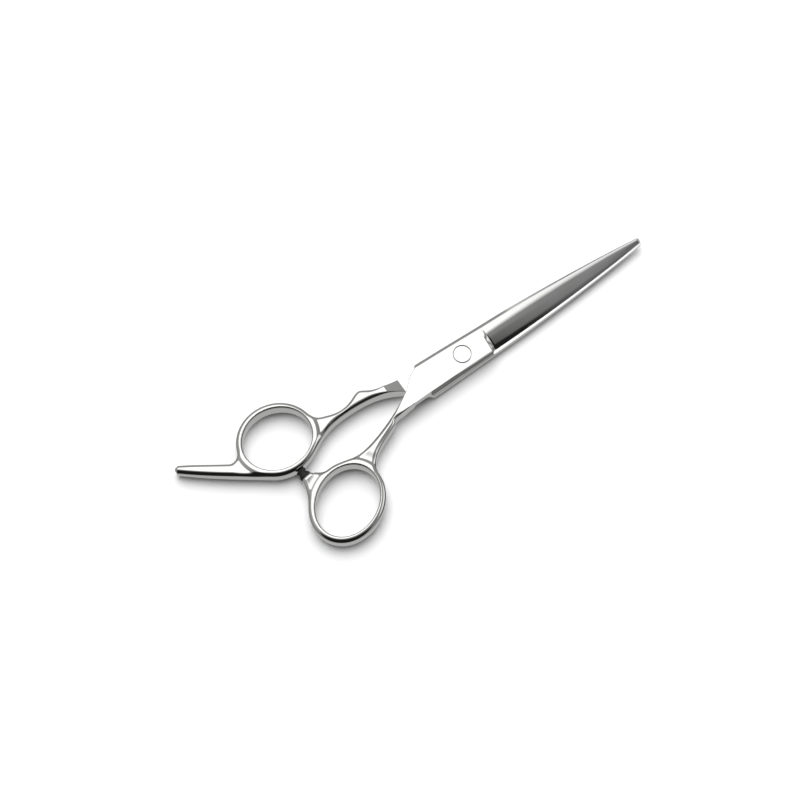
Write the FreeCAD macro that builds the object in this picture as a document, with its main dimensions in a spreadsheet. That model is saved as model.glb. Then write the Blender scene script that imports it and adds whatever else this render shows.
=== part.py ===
import FreeCAD
import Part
import Sketcher

import math
import os

# Hair cutting shears, closed, lying on their underside.
# Origin: on the pivot axis, in the plane the shears rest on.
# +X runs along the closed blades to the tips, +Y is to the left, +Z is up. Millimetres.
# The thumb half lies on top, the finger half (with the finger rest) underneath.

V = FreeCAD.Vector

DIMENSIONS = [
    # the two flat plates that cross at the pivot
    ("plate_lift", 0.1, "clearance of the lower plate over the table"),
    ("plate_thickness", 3.05, "thickness of each plate"),
    ("ride_gap", 0.1, "gap between the two plates"),
    ("plate_spine_side", 5.6, "pivot axis to the plate's spine edge"),
    ("plate_edge_side", 4.85, "pivot axis to the plate's other edge"),
    ("spine_bevel_width", 1.2, "width of the bevel along the spine"),
    ("spine_bevel_depth", 1.0, "depth of the bevel along the spine"),
    ("seam_distance", 22.7, "pivot axis to the weld of blade and handle"),
    ("crotch_gap", 0.12, "half the gap between the halves behind the plates"),
    ("seam_flare", 0.35, "how much further out the plate's edge lies at the weld"),
    # the blades
    ("blade_root", 10.0, "pivot axis to the start of the grind"),
    ("blade_reach", 75.0, "pivot axis to the tips"),
    ("spine_root", 5.3, "spine offset at the start of the grind"),
    ("spine_tip", 1.25, "spine offset at the tip"),
    ("spine_bow", 0.64, "how far the spine bows out"),
    ("edge_root", 4.25, "cutting edge offset at the start of the grind"),
    ("edge_tip", 0.45, "cutting edge offset at the tip"),
    ("edge_bow", 0.73, "how far the cutting edge bows out"),
    ("edge_thickness", 0.12, "thickness at the cutting edge"),
    ("land_root", 1.9, "offset of the flat land's boundary at the root"),
    ("land_tip", 0.55, "offset of the flat land's boundary at the tip"),
    ("land_bow", 1.3, "how far the land's boundary bows out"),
    ("grind_crown", 0.3, "how far the ground face bulges"),
    ("tip_thickness", 1.3, "blade thickness at the tip"),
    # the handles
    ("handle_overheight", 4.0, "half height of the handle blanks"),
    ("edge_round", 0.78, "rounding of the handle edges"),
    ("finger_hole_length", 23.4, "finger hole, long way"),
    ("finger_hole_width", 20.6, "finger hole, short way"),
    ("finger_ring_length", 27.0, "finger ring outside, long way"),
    ("finger_ring_width", 25.0, "finger ring outside, short way"),
    ("thumb_hole_length", 24.7, "thumb hole, long way"),
    ("thumb_hole_width", 19.9, "thumb hole, short way"),
    ("thumb_ring_length", 28.5, "thumb ring outside, long way"),
    ("thumb_ring_width", 24.0, "thumb ring outside, short way"),
    ("ear_seat_width", 3.7, "seat of the bumper on the thumb ring's ear"),
    ("rest_length", 30.5, "length of the finger rest along its lower side"),
    ("rest_end_radius", 1.35, "radius of the finger rest's round end"),
    # the pivot
    ("stud_head_radius", 3.05, "plain disc head of the pivot stud"),
    ("stud_head_depth", 1.15, "thickness of the stud's head"),
    ("stud_head_drop", 0.02, "how far the stud's head lies below the plate's face"),
    ("fit_gap", 0.02, "gap at each close fit of two fixed pieces"),
    ("head_recess_radius", 3.12, "recess for the head in the thumb plate"),
    ("stud_square", 3.6, "square of the stud that keys the thumb plate"),
    ("stud_barrel_radius", 1.75, "round barrel of the stud"),
    ("running_clearance", 0.05, "radial clearance of the barrel in its bush"),
    ("bush_radius", 2.25, "outside of the bush in the finger plate"),
    ("bush_flange_radius", 3.2, "flange of the bush, between the plates"),
    ("bush_flange_depth", 0.3, "thickness of the bush's flange"),
    ("screw_recess_radius", 3.6, "recess for the tension screw"),
    ("screw_recess_depth", 1.45, "depth of the tension screw's recess"),
    ("screw_head_radius", 3.4, "head of the tension screw"),
    ("screw_head_depth", 0.9, "thickness of the tension screw's head"),
    ("screw_radius", 1.0, "threaded shank of the tension screw"),
    ("screw_length", 3.3, "length of the shank under the head"),
    ("screw_clearance", 0.03, "radial clearance of the shank in the stud"),
    ("screw_runout", 0.35, "depth of the stud's bore past the end of the screw"),
    ("key_notch_width", 0.9, "each of the two notches for the tension key"),
    ("key_notch_reach", 2.3, "pivot axis to the inner end of a key notch"),
    ("key_notch_depth", 0.45, "depth of a key notch"),
    ("stack_gap", 0.05, "gap between the screw head and the click plate"),
    ("washer_thickness", 0.15, "thickness of the thrust washer"),
    ("click_thickness", 0.2, "thickness of the click plate"),
    ("spring_thickness", 0.14, "thickness of the disc spring"),
    ("spring_height", 0.24, "free height of the disc spring"),
    ("flat_width", 3.0, "distance over the flats at the barrel's end"),
    # the bumper between the rings
    ("bumper_radius", 2.0, "base of the rubber bumper"),
    ("bumper_waist", 1.35, "waist of the rubber bumper"),
    ("bumper_head", 1.7, "head of the rubber bumper"),
    ("bumper_height", 3.1, "height of the bumper over its seat"),
    ("bumper_pin_radius", 0.6, "threaded pin of the bumper"),
    ("bumper_pin_bury", 1.6, "length of the pin inside the rubber"),
    ("bumper_pin_depth", 2.6, "length of the pin inside the ear"),
]

FINGER_HOLE_CENTRE = V(-66.7, 10.55, 0)
FINGER_RING_CENTRE = V(-66.9, 10.52, 0)
FINGER_TILT = -9.0
THUMB_HOLE_CENTRE = V(-59.35, -19.87, 0)
THUMB_RING_CENTRE = V(-59.6, -19.95, 0)
THUMB_TILT = 29.0
BUMPER_SEAT = V(-65.75, -5.15, 0)
BUMPER_TURN = 8.0
RING_MIDDLE = 3.0
# the handle edges are rounded from here back, so that the weld keeps its full section
ROUNDING_START = -28.0
# wider than any handle
SIDE_CUT_WIDTH = 120.0
# shares by which the blade's features shrink from root to tip
BEVEL_NARROWING = 0.85
BEVEL_FLATTENING = 0.75
CROWN_FADE = 0.6
# how far the ground blade reaches into the plate
LOFT_OVERLAP = 1.0
# above 1, so that the blade keeps its thickness near the root
TAPER_POWER = 1.2

doc = FreeCAD.newDocument("HairCuttingShears")

sheet = doc.addObject("Spreadsheet::Sheet", "Dimensions")
for row, (alias, value, meaning) in enumerate(DIMENSIONS, start=1):
    sheet.set(f"A{row}", meaning)
    sheet.set(f"B{row}", str(value))
    sheet.setAlias(f"B{row}", alias)
doc.recompute()


def dim(alias):
    """The value of one cell of the sheet."""
    return float(sheet.get(alias))


MID = dim("plate_lift") + dim("plate_thickness") + dim("ride_gap") / 2
SEAM = -dim("seam_distance")


# ---------------------------------------------------------------- helpers

def new_body(name):
    body = doc.addObject("PartDesign::Body", name)
    body.Label = name
    return body


def new_sketch(body, name, role="XY_Plane", height=None):
    """A sketch on one of the body's own origin planes, lifted by an expression."""
    sketch = body.newObject("Sketcher::SketchObject", name)
    plane = [f for f in body.Origin.OriginFeatures if f.Role == role][0]
    sketch.AttachmentSupport = [(plane, "")]
    sketch.MapMode = "FlatFace"
    if height is not None:
        sketch.setExpression("AttachmentOffset.Base.z", height)
    return sketch


def add_circle(sketch, radius, centre=V(0, 0, 0)):
    """A circle whose radius follows an expression."""
    index = sketch.addGeometry(Part.Circle(centre, V(0, 0, 1), 1.0))
    sketch.addConstraint(Sketcher.Constraint("Radius", index, 1.0))
    sketch.setExpression(f"Constraints[{sketch.ConstraintCount - 1}]", radius)


def pad(body, sketch, name, length, reverse=False):
    feature = body.newObject("PartDesign::Pad", name)
    feature.Profile = sketch
    feature.setExpression("Length", length)
    feature.Reversed = reverse
    return feature


def pocket(body, sketch, name, length, reverse=False):
    """A pocket that must take material away."""
    before = body.Shape.Volume
    feature = body.newObject("PartDesign::Pocket", name)
    feature.Profile = sketch
    feature.setExpression("Length", length)
    feature.Reversed = reverse
    doc.recompute()
    if feature.Shape.Volume > before - 1e-6:
        raise RuntimeError(f"{name} cuts nothing")
    return feature


def edges_where(shape, test):
    return [f"Edge{i}" for i, edge in enumerate(shape.Edges, start=1) if test(edge)]


def middle(edge):
    return edge.valueAt((edge.FirstParameter + edge.LastParameter) / 2)


def polygon(points):
    closed = points + points[:1]
    return [Part.LineSegment(a, b) for a, b in zip(closed[:-1], closed[1:])]


def rectangle(sketch, half_x, half_y, centre=V(0, 0, 0)):
    corners = [V(-half_x, -half_y, 0), V(half_x, -half_y, 0), V(half_x, half_y, 0), V(-half_x, half_y, 0)]
    for side in polygon([centre + corner for corner in corners]):
        sketch.addGeometry(side)


def spline(points, start=None, end=None):
    """A smooth curve through the points, with given directions at its ends."""
    curve = Part.BSplineCurve()
    if start is None and end is None:
        curve.interpolate(Points=points)
        return curve
    tangents = [start or V(0, 0, 0)] + [V(0, 0, 0)] * (len(points) - 2) + [end or V(0, 0, 0)]
    flags = [start is not None] + [False] * (len(points) - 2) + [end is not None]
    curve.interpolate(Points=points, Tangents=tangents, TangentFlags=flags)
    return curve


class Oval:
    """A tilted ellipse with its points and directions by angle."""

    def __init__(self, centre, length, width, tilt):
        self.centre = centre
        self.a = length / 2
        self.b = width / 2
        self.e1 = V(math.cos(math.radians(tilt)), math.sin(math.radians(tilt)), 0)
        self.e2 = V(-self.e1.y, self.e1.x, 0)

    def point(self, angle):
        u = math.radians(angle)
        return self.centre + self.e1 * (self.a * math.cos(u)) + self.e2 * (self.b * math.sin(u))

    def direction(self, angle):
        u = math.radians(angle)
        way = self.e1 * (-self.a * math.sin(u)) + self.e2 * (self.b * math.cos(u))
        return way.normalize()

    def curve(self):
        major = self.centre + self.e1 * self.a
        minor = self.centre + self.e2 * self.b
        return Part.Ellipse(major, minor, self.centre)

    def arc(self, start, end):
        return Part.ArcOfEllipse(self.curve(), math.radians(start), math.radians(end))


# ---------------------------------------------------------------- blades

def blade_line(name, station):
    """Offset from the pivot line of a bowed line along the blade; station 0 to 1."""
    root = dim(name + "_root")
    tip = dim(name + "_tip")
    return root + (tip - root) * station + 4 * dim(name + "_bow") * station * (1 - station)


def blade_section(body, number, station):
    """A cross-section of the ground blade: flat inner face, crowned grind, land and bevel.

    Station 0 lies inside the plate, station 1 at the tip.
    """
    start = dim("blade_root") - LOFT_OVERLAP
    x = start + (dim("blade_reach") - start) * station
    true_station = max(0.0, (x - dim("blade_root")) / (dim("blade_reach") - dim("blade_root")))
    spine = blade_line("spine", true_station)
    edge = -blade_line("edge", true_station)
    land = blade_line("land", true_station)
    top = dim("plate_thickness") - dim("fit_gap")
    top -= (top - dim("tip_thickness")) * true_station ** TAPER_POWER
    bevel = dim("spine_bevel_width") * (1 - BEVEL_NARROWING * true_station)
    drop = dim("spine_bevel_depth") * (1 - BEVEL_FLATTENING * true_station)
    foot = V(edge, 0, 0)
    lip = V(edge, dim("edge_thickness"), 0)
    brow = V(land, top, 0)
    bulge = dim("grind_crown") * (1 - CROWN_FADE * true_station)
    crown = (lip + brow) * 0.5 + V(-0.4, 1, 0) * bulge
    shoulder = V(spine - bevel, top, 0)
    back = V(spine, top - drop, 0)
    heel = V(spine, 0, 0)
    sketch = new_sketch(body, f"Section{number}", "YZ_Plane")
    sketch.AttachmentOffset = FreeCAD.Placement(V(0, 0, x), FreeCAD.Rotation())
    sketch.addGeometry(Part.LineSegment(foot, lip))
    sketch.addGeometry(Part.Arc(lip, crown, brow))
    sketch.addGeometry(Part.LineSegment(brow, shoulder))
    sketch.addGeometry(Part.LineSegment(shoulder, back))
    sketch.addGeometry(Part.LineSegment(back, heel))
    sketch.addGeometry(Part.LineSegment(heel, foot))
    return sketch


def blade_blank(name):
    """One half's plate and blade; inner face at z = 0, outer face up, spine towards +Y."""
    body = new_body(name)
    outline = new_sketch(body, "PlateOutline")
    root = dim("blade_root")
    spine_side = dim("plate_spine_side")
    edge_side = dim("plate_edge_side")
    seam_top = V(SEAM, -dim("crotch_gap"), 0)
    seam_low = V(SEAM, -edge_side - dim("seam_flare"), 0)
    shoulder = V(-16.2, 4.6, 0)
    corner = V(-15.2, spine_side + 0.45, 0)
    spine_root = V(root, dim("spine_root"), 0)
    edge_root = V(root, -edge_side + 0.1, 0)
    run = [seam_top, V(-20.5, 1.9, 0), V(-18.5, 3.6, 0), shoulder]
    outline.addGeometry(spline(run, V(0.8, 0.6, 0), V(1, 0.15, 0)))
    outline.addGeometry(Part.LineSegment(shoulder, corner))
    outline.addGeometry(Part.Arc(corner, V(-2.6, spine_side + 0.12, 0), spine_root))
    outline.addGeometry(Part.LineSegment(spine_root, edge_root))
    outline.addGeometry(Part.Arc(edge_root, V(-6, -edge_side - 0.02, 0), seam_low))
    outline.addGeometry(Part.LineSegment(seam_low, seam_top))
    plate = pad(body, outline, "Plate", "Dimensions.plate_thickness")
    doc.recompute()

    top = dim("plate_thickness")
    bevel = body.newObject("PartDesign::Chamfer", "SpineBevel")
    bevel.Base = (plate, edges_where(
        plate.Shape,
        lambda e: abs(middle(e).z - top) < 1e-6 and middle(e).y > spine_side - 0.2))
    bevel.ChamferType = "Two distances"
    bevel.FlipDirection = False
    bevel.setExpression("Size", "Dimensions.spine_bevel_width")
    bevel.setExpression("Size2", "Dimensions.spine_bevel_depth")
    doc.recompute()

    stations = [0.0, 0.3, 0.6, 0.85, 1.0]
    sections = [blade_section(body, number, s) for number, s in enumerate(stations)]
    grind = body.newObject("PartDesign::AdditiveLoft", "Blade")
    grind.Profile = sections[0]
    grind.Sections = sections[1:]
    doc.recompute()
    return body


def thumb_blade():
    body = blade_blank("thumb_blade")
    recess = new_sketch(body, "HeadRecess", height="Dimensions.plate_thickness")
    add_circle(recess, "Dimensions.head_recess_radius")
    depth = "Dimensions.stud_head_depth + Dimensions.stud_head_drop + Dimensions.fit_gap / 2"
    pocket(body, recess, "HeadPocket", depth)
    square = new_sketch(body, "KeySquare", height="Dimensions.plate_thickness")
    half = dim("stud_square") / 2 + dim("fit_gap")
    rectangle(square, half, half)
    pocket(body, square, "KeyPocket", "Dimensions.plate_thickness + 1")
    body.Placement = FreeCAD.Placement(V(0, 0, MID + dim("ride_gap") / 2), FreeCAD.Rotation())
    return body


def finger_blade():
    body = blade_blank("finger_blade")
    recess = new_sketch(body, "ScrewRecess", height="Dimensions.plate_thickness")
    add_circle(recess, "Dimensions.screw_recess_radius")
    pocket(body, recess, "ScrewPocket", "Dimensions.screw_recess_depth")
    bore = new_sketch(body, "BushBore", height="Dimensions.plate_thickness")
    add_circle(bore, "Dimensions.bush_radius")
    pocket(body, bore, "BushPocket", "Dimensions.plate_thickness + 1")
    flange = new_sketch(body, "FlangeRecess")
    add_circle(flange, "Dimensions.bush_flange_radius + 0.05")
    pocket(body, flange, "FlangePocket", "Dimensions.bush_flange_depth - 0.05", reverse=True)
    turn = FreeCAD.Rotation(V(1, 0, 0), 180)
    body.Placement = FreeCAD.Placement(V(0, 0, MID - dim("ride_gap") / 2), turn)
    return body


# ---------------------------------------------------------------- handles

def side_trim(body, top_line, bottom_line):
    """Cuts a handle blank to its height, seen from the side."""
    sketch = new_sketch(body, "SideProfile", "XZ_Plane")
    far = dim("handle_overheight") + 1
    for line, sign in ((top_line, 1), (bottom_line, -1)):
        run = [V(x, z, 0) for x, z in line[1:]]
        start = V(line[0][0], line[0][1], 0)
        sketch.addGeometry(Part.LineSegment(start, run[0]))
        sketch.addGeometry(spline(run))
        corner_a = V(run[-1].x, sign * far, 0)
        corner_b = V(start.x, sign * far, 0)
        sketch.addGeometry(Part.LineSegment(run[-1], corner_a))
        sketch.addGeometry(Part.LineSegment(corner_a, corner_b))
        sketch.addGeometry(Part.LineSegment(corner_b, start))
    before = body.Shape.Volume
    cut = body.newObject("PartDesign::Pocket", "SideCut")
    cut.Profile = sketch
    cut.Length = SIDE_CUT_WIDTH
    cut.Midplane = True
    doc.recompute()
    if cut.Shape.Volume > before - 1:
        raise RuntimeError("the side cut takes nothing away")
    return cut


def handle(name, outline, hole, top_line, bottom_line):
    """A cast handle: its outline and hole padded, trimmed from the side and rounded."""
    body = new_body(name)
    sketch = new_sketch(body, "Outline")
    for piece in outline:
        sketch.addGeometry(piece)
    sketch.addGeometry(hole.curve())
    blank = pad(body, sketch, "Blank", "2 * Dimensions.handle_overheight")
    blank.Midplane = True
    doc.recompute()
    cut = side_trim(body, top_line, bottom_line)

    def rim(edge):
        """True for the edges that run round the top and the bottom behind the weld."""
        box = edge.BoundBox
        level_run = box.ZLength < dim("plate_thickness") / 2
        outer = abs(middle(edge).z) > dim("plate_thickness") / 3
        return level_run and outer and box.XMax < ROUNDING_START + 0.01

    round_over = body.newObject("PartDesign::Fillet", "Rounding")
    round_over.Base = (cut, edges_where(cut.Shape, rim))
    round_over.setExpression("Radius", "Dimensions.edge_round")
    doc.recompute()
    body.Placement = FreeCAD.Placement(V(0, 0, MID), FreeCAD.Rotation())
    return body


def finger_handle():
    ring = Oval(FINGER_RING_CENTRE, dim("finger_ring_length"), dim("finger_ring_width"), FINGER_TILT)
    hole = Oval(FINGER_HOLE_CENTRE, dim("finger_hole_length"), dim("finger_hole_width"), FINGER_TILT)
    # the finger rest: its lower side leaves the ring along a tangent
    root_angle = 240
    along = ring.direction(root_angle) * -1
    out = V(along.y, -along.x, 0)
    low_root = ring.point(root_angle)
    low_end = low_root + along * dim("rest_length")
    end_radius = dim("rest_end_radius")
    ball = low_end + out * end_radius
    upper_slope = math.radians(33.5)
    upper_along = V(-math.cos(upper_slope), math.sin(upper_slope), 0)
    upper_out = V(upper_along.y, -upper_along.x, 0)
    high_end = ball + upper_out * end_radius
    high_root = high_end - upper_along * 14.6
    ball_tip = ball + (along + upper_along).normalize() * end_radius

    shank_top = [V(SEAM, 5.15, 0), V(-28, 5.85, 0), V(-32.8, 7.6, 0), V(-35.6, 9.1, 0),
                 V(-38.8, 8.15, 0), V(-44.5, 6.95, 0), V(-50, 8.4, 0), ring.point(22)]
    crotch = [ring.point(168), V(-81.1, 12.75, 0), V(-83.2, 12.1, 0), high_root]
    shank_low = [ring.point(302), V(-57.3, 1.1, 0), V(-50, 4.15, 0), V(-44, 4.9, 0),
                 V(-36, 4.7, 0), V(-30, 3.6, 0), V(SEAM, dim("crotch_gap"), 0)]
    outline = [
        spline(shank_top, end=ring.direction(22)),
        ring.arc(22, 168),
        spline(crotch, start=ring.direction(168), end=upper_along),
        Part.LineSegment(high_root, high_end),
        Part.Arc(high_end, ball_tip, low_end),
        Part.LineSegment(low_end, low_root),
        ring.arc(root_angle, 302),
        spline(shank_low, start=ring.direction(302)),
        Part.LineSegment(shank_low[-1], shank_top[0]),
    ]
    top_line = [(SEAM, 1.9), (-28, 2.98), (-40, 2.9), (-62, 2.8), (-80, 2.5), (-102, 1.6)]
    bottom_line = [(SEAM, -3.1), (-28, -3.13), (-45, -3.2), (-62, -3.2), (-78, -3.18), (-102, -2.5)]
    return handle("finger_handle", outline, hole, top_line, bottom_line)


def thumb_handle():
    ring = Oval(THUMB_RING_CENTRE, dim("thumb_ring_length"), dim("thumb_ring_width"), THUMB_TILT)
    hole = Oval(THUMB_HOLE_CENTRE, dim("thumb_hole_length"), dim("thumb_hole_width"), THUMB_TILT)
    seat = V(math.cos(math.radians(BUMPER_TURN)), math.sin(math.radians(BUMPER_TURN)), 0)
    ear_right = BUMPER_SEAT + seat * (dim("ear_seat_width") / 2)
    ear_left = BUMPER_SEAT - seat * (dim("ear_seat_width") / 2)
    shank_top = [V(SEAM, -dim("crotch_gap"), 0), V(-28, -3.0, 0), V(-34, -5.5, 0), V(-42, -8.15, 0),
                 V(-47, -8.95, 0), V(-52, -8.25, 0), ring.point(50)]
    ear_rise = [ring.point(62), V(-61.2, -6.9, 0), V(-62.6, -5.9, 0), ear_right]
    ear_fall = [ear_left, V(-68.05, -8.3, 0), V(-69.4, -11.9, 0), ring.point(128)]
    shank_low = [ring.point(335), V(-44.3, -14.0, 0), V(-39.8, -10.75, 0), V(-31.9, -7.0, 0),
                 V(SEAM, -dim("plate_edge_side") - dim("seam_flare"), 0)]
    outline = [
        spline(shank_top, end=ring.direction(50)),
        ring.arc(50, 62),
        spline(ear_rise, start=ring.direction(62)),
        Part.LineSegment(ear_right, ear_left),
        spline(ear_fall, end=ring.direction(128)),
        ring.arc(128, 335),
        spline(shank_low, start=ring.direction(335), end=V(1, 0.06, 0)),
        Part.LineSegment(shank_low[-1], shank_top[0]),
    ]
    top_line = [(SEAM, 3.1), (-28, 3.03), (-40, 2.9), (-60, 2.8), (-80, 2.75)]
    bottom_line = [(SEAM, -1.9), (-28, -3.05), (-45, -3.2), (-60, -3.2), (-80, -3.2)]
    body = handle("thumb_handle", outline, hole, top_line, bottom_line)

    # the tapped hole for the bumper's pin, square to its seat
    hole_sketch = new_sketch(body, "PinHole", "XZ_Plane")
    hole_sketch.AttachmentOffset = FreeCAD.Placement(
        V(BUMPER_SEAT.x, RING_MIDDLE - MID, -BUMPER_SEAT.y), FreeCAD.Rotation(V(0, 1, 0), BUMPER_TURN))
    add_circle(hole_sketch, "Dimensions.bumper_pin_radius")
    pocket(body, hole_sketch, "PinPocket", "Dimensions.bumper_pin_depth + 0.1", reverse=True)
    return body


# ---------------------------------------------------------------- pivot

def turned(body, name, profile):
    """Adds a turned solid: the profile's points are (radius, height)."""
    sketch = new_sketch(body, name + "Profile", "XZ_Plane")
    for side in polygon([V(radius, height, 0) for radius, height in profile]):
        sketch.addGeometry(side)
    feature = body.newObject("PartDesign::Revolution", name)
    feature.Profile = sketch
    feature.ReferenceAxis = (sketch, ["V_Axis"])
    feature.Angle = 360
    doc.recompute()
    return feature


def place_at(body, height, rotation=FreeCAD.Rotation()):
    body.Placement = FreeCAD.Placement(V(0, 0, height), rotation)


def level(name):
    """Heights of the pivot's stack over the table."""
    lift = dim("plate_lift")
    top = 2 * MID - lift
    recess_floor = lift + dim("screw_recess_depth")
    click = dim("screw_head_depth") + dim("stack_gap")
    return {
        "head_top": top - dim("stud_head_drop"),
        "head_floor": top - dim("stud_head_drop") - dim("stud_head_depth"),
        "finger_inner": MID - dim("ride_gap") / 2,
        "recess_floor": recess_floor,
        "barrel_end": click + 0.05,
        "click": click,
        "spring": click + dim("click_thickness"),
        "washer": recess_floor - dim("washer_thickness"),
    }[name]


def pivot_stud():
    """Plain disc head, square neck and hollow barrel; its local top is the head's face."""
    body = new_body("pivot_stud")
    head = dim("stud_head_radius")
    head_floor = level("head_floor") - level("head_top")
    end = level("barrel_end") - level("head_top")
    bore = dim("screw_radius") + dim("screw_clearance")
    bore_top = end + dim("screw_length") + dim("screw_runout")
    barrel = dim("stud_barrel_radius")
    turned(body, "Stud", [
        (0, 0), (head - 0.12, 0), (head, -0.12), (head, head_floor), (barrel, head_floor),
        (barrel, end), (bore, end), (bore, bore_top), (0, bore_top)])
    square = new_sketch(body, "SquareNeck")
    square.AttachmentOffset = FreeCAD.Placement(V(0, 0, head_floor), FreeCAD.Rotation())
    half = dim("stud_square") / 2
    rectangle(square, half, half)
    # open in the middle, so that the neck leaves the bore free
    add_circle(square, "Dimensions.screw_radius + 0.33")
    length = "Dimensions.plate_thickness - Dimensions.stud_head_depth - Dimensions.stud_head_drop"
    pad(body, square, "Neck", length + " - Dimensions.fit_gap / 2", reverse=True)
    doc.recompute()
    flats = new_sketch(body, "KeyFlats")
    flats.AttachmentOffset = FreeCAD.Placement(V(0, 0, end), FreeCAD.Rotation())
    flat = dim("flat_width") / 2
    for sign in (1, -1):
        rectangle(flats, 1.0, barrel + 0.5, V(sign * (flat + 1.0), 0, 0))
    pocket(body, flats, "FlatsCut", "Dimensions.click_thickness + Dimensions.spring_height", reverse=True)
    place_at(body, level("head_top"))
    return body


def pivot_bush():
    """Flanged low-friction bush in the finger plate."""
    body = new_body("pivot_bush")
    inner = dim("stud_barrel_radius") + dim("running_clearance")
    flange = dim("bush_flange_depth")
    top = level("finger_inner") + 0.05
    foot = level("recess_floor") + dim("fit_gap") - top
    turned(body, "Bush", [
        (inner, 0), (dim("bush_flange_radius"), 0), (dim("bush_flange_radius"), -flange),
        (dim("bush_radius"), -flange), (dim("bush_radius"), foot), (inner, foot)])
    place_at(body, top)
    return body


def thrust_washer():
    body = new_body("thrust_washer")
    inner = dim("stud_barrel_radius") + 0.07
    outer = dim("screw_recess_radius") - 0.2
    thick = dim("washer_thickness")
    turned(body, "Washer", [(inner, 0), (outer, 0), (outer, thick), (inner, thick)])
    place_at(body, level("washer"))
    return body


def disc_spring():
    """A conical spring washer, its narrow end on the click plate."""
    body = new_body("disc_spring")
    inner = dim("stud_barrel_radius") + 0.1
    outer = dim("screw_recess_radius") - 0.4
    thick = dim("spring_thickness")
    rise = dim("spring_height") - thick
    turned(body, "Cone", [(inner, 0), (outer, rise), (outer, rise + thick), (inner, thick)])
    place_at(body, level("spring"))
    return body


def click_plate():
    """A thin plate keyed to the stud's flats, with dimples that the screw head clicks on."""
    body = new_body("click_plate")
    sketch = new_sketch(body, "Disc")
    outer = dim("screw_recess_radius") - 0.3
    barrel = dim("stud_barrel_radius") + dim("fit_gap")
    flat = dim("flat_width") / 2 + dim("fit_gap")
    reach = math.sqrt(barrel ** 2 - flat ** 2)
    add_circle(sketch, "Dimensions.screw_recess_radius - 0.3")
    for sign in (1, -1):
        side = [V(sign * flat, -sign * reach, 0), V(sign * flat, sign * reach, 0)]
        sketch.addGeometry(Part.LineSegment(*side))
        far = V(-sign * flat, sign * reach, 0)
        sketch.addGeometry(Part.Arc(side[1], V(0, sign * barrel, 0), far))
    pad(body, sketch, "Plate", "Dimensions.click_thickness")
    doc.recompute()
    dimple = new_sketch(body, "Dimple", height="Dimensions.click_thickness")
    dimple.addGeometry(Part.Circle(V(outer - 0.6, 0, 0), V(0, 0, 1), 0.22))
    first = pocket(body, dimple, "DimplePocket", "Dimensions.click_thickness / 2")
    ring = body.newObject("PartDesign::PolarPattern", "Dimples")
    ring.Originals = [first]
    ring.Axis = (dimple, ["N_Axis"])
    ring.Angle = 360
    ring.Occurrences = 12
    body.Tip = ring
    place_at(body, level("click"))
    return body


def tension_screw():
    """Flat screw in the underside, turned with a two-pin key; its face rests on the table."""
    body = new_body("tension_screw")
    head = dim("screw_head_radius")
    depth = dim("screw_head_depth")
    shank = dim("screw_radius")
    end = depth + dim("screw_length")
    turned(body, "Screw", [
        (0, 0), (head - 0.15, 0), (head, 0.15), (head, depth), (shank, depth),
        (shank, end - 0.2), (shank - 0.2, end), (0, end)])
    notch = new_sketch(body, "KeyNotch")
    reach = dim("key_notch_reach")
    rectangle(notch, (head - reach) / 2 + 0.5, dim("key_notch_width") / 2, V((head + reach) / 2 + 0.5, 0, 0))
    first = pocket(body, notch, "Notch", "Dimensions.key_notch_depth", reverse=True)
    pair = body.newObject("PartDesign::PolarPattern", "Notches")
    pair.Originals = [first]
    pair.Axis = (notch, ["N_Axis"])
    pair.Angle = 360
    pair.Occurrences = 2
    body.Tip = pair
    return body


# ---------------------------------------------------------------- bumper

def bumper_axis():
    """Local +Z turned to stand on the ear's seat, towards the finger ring."""
    upright = FreeCAD.Rotation(V(1, 0, 0), -90)
    return FreeCAD.Rotation(V(0, 0, 1), BUMPER_TURN) * upright


def rubber_bumper():
    body = new_body("bumper")
    base = dim("bumper_radius")
    waist = dim("bumper_waist")
    head = dim("bumper_head")
    tall = dim("bumper_height")
    pin = dim("bumper_pin_radius")
    bury = dim("bumper_pin_bury")
    turned(body, "Rubber", [
        (pin, 0), (base, 0), (base, 0.9), (waist, 1.7), (waist, 2.1), (head, 2.5),
        (head, tall - 0.3), (head - 0.6, tall - 0.05), (0, tall), (0, bury), (pin, bury)])
    body.Placement = FreeCAD.Placement(BUMPER_SEAT + V(0, 0, RING_MIDDLE), bumper_axis())
    return body


def bumper_pin():
    body = new_body("bumper_pin")
    radius = dim("bumper_pin_radius")
    turned(body, "Pin", [
        (0, -dim("bumper_pin_depth")), (radius - 0.15, -dim("bumper_pin_depth")),
        (radius, -dim("bumper_pin_depth") + 0.15), (radius, dim("bumper_pin_bury")),
        (0, dim("bumper_pin_bury"))])
    body.Placement = FreeCAD.Placement(BUMPER_SEAT + V(0, 0, RING_MIDDLE), bumper_axis())
    return body


# ---------------------------------------------------------------- making and writing

BODIES = [
    thumb_blade(),
    thumb_handle(),
    finger_blade(),
    finger_handle(),
    pivot_stud(),
    pivot_bush(),
    thrust_washer(),
    disc_spring(),
    click_plate(),
    tension_screw(),
    rubber_bumper(),
    bumper_pin(),
]
doc.recompute()

for item in doc.Objects:
    if "Invalid" in item.State or "Error" in item.State:
        raise RuntimeError(f"{item.Label} failed: {item.State}")
for body in BODIES:
    shape = body.Shape
    if shape.isNull() or not shape.isValid() or len(shape.Solids) != 1:
        raise RuntimeError(f"{body.Label} isn't one valid solid")

os.makedirs("parts", exist_ok=True)
for body in BODIES:
    body.Shape.exportStep(f"parts/{body.Label}.step")
    box = body.Shape.BoundBox
    print(f"{body.Label}: {body.Shape.Volume:.2f} mm3, {box.XLength:.2f} x {box.YLength:.2f} x {box.ZLength:.2f}")
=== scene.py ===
import math

import bmesh
import bpy
import numpy as np
from mathutils import Matrix, Vector
from mathutils.kdtree import KDTree


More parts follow.
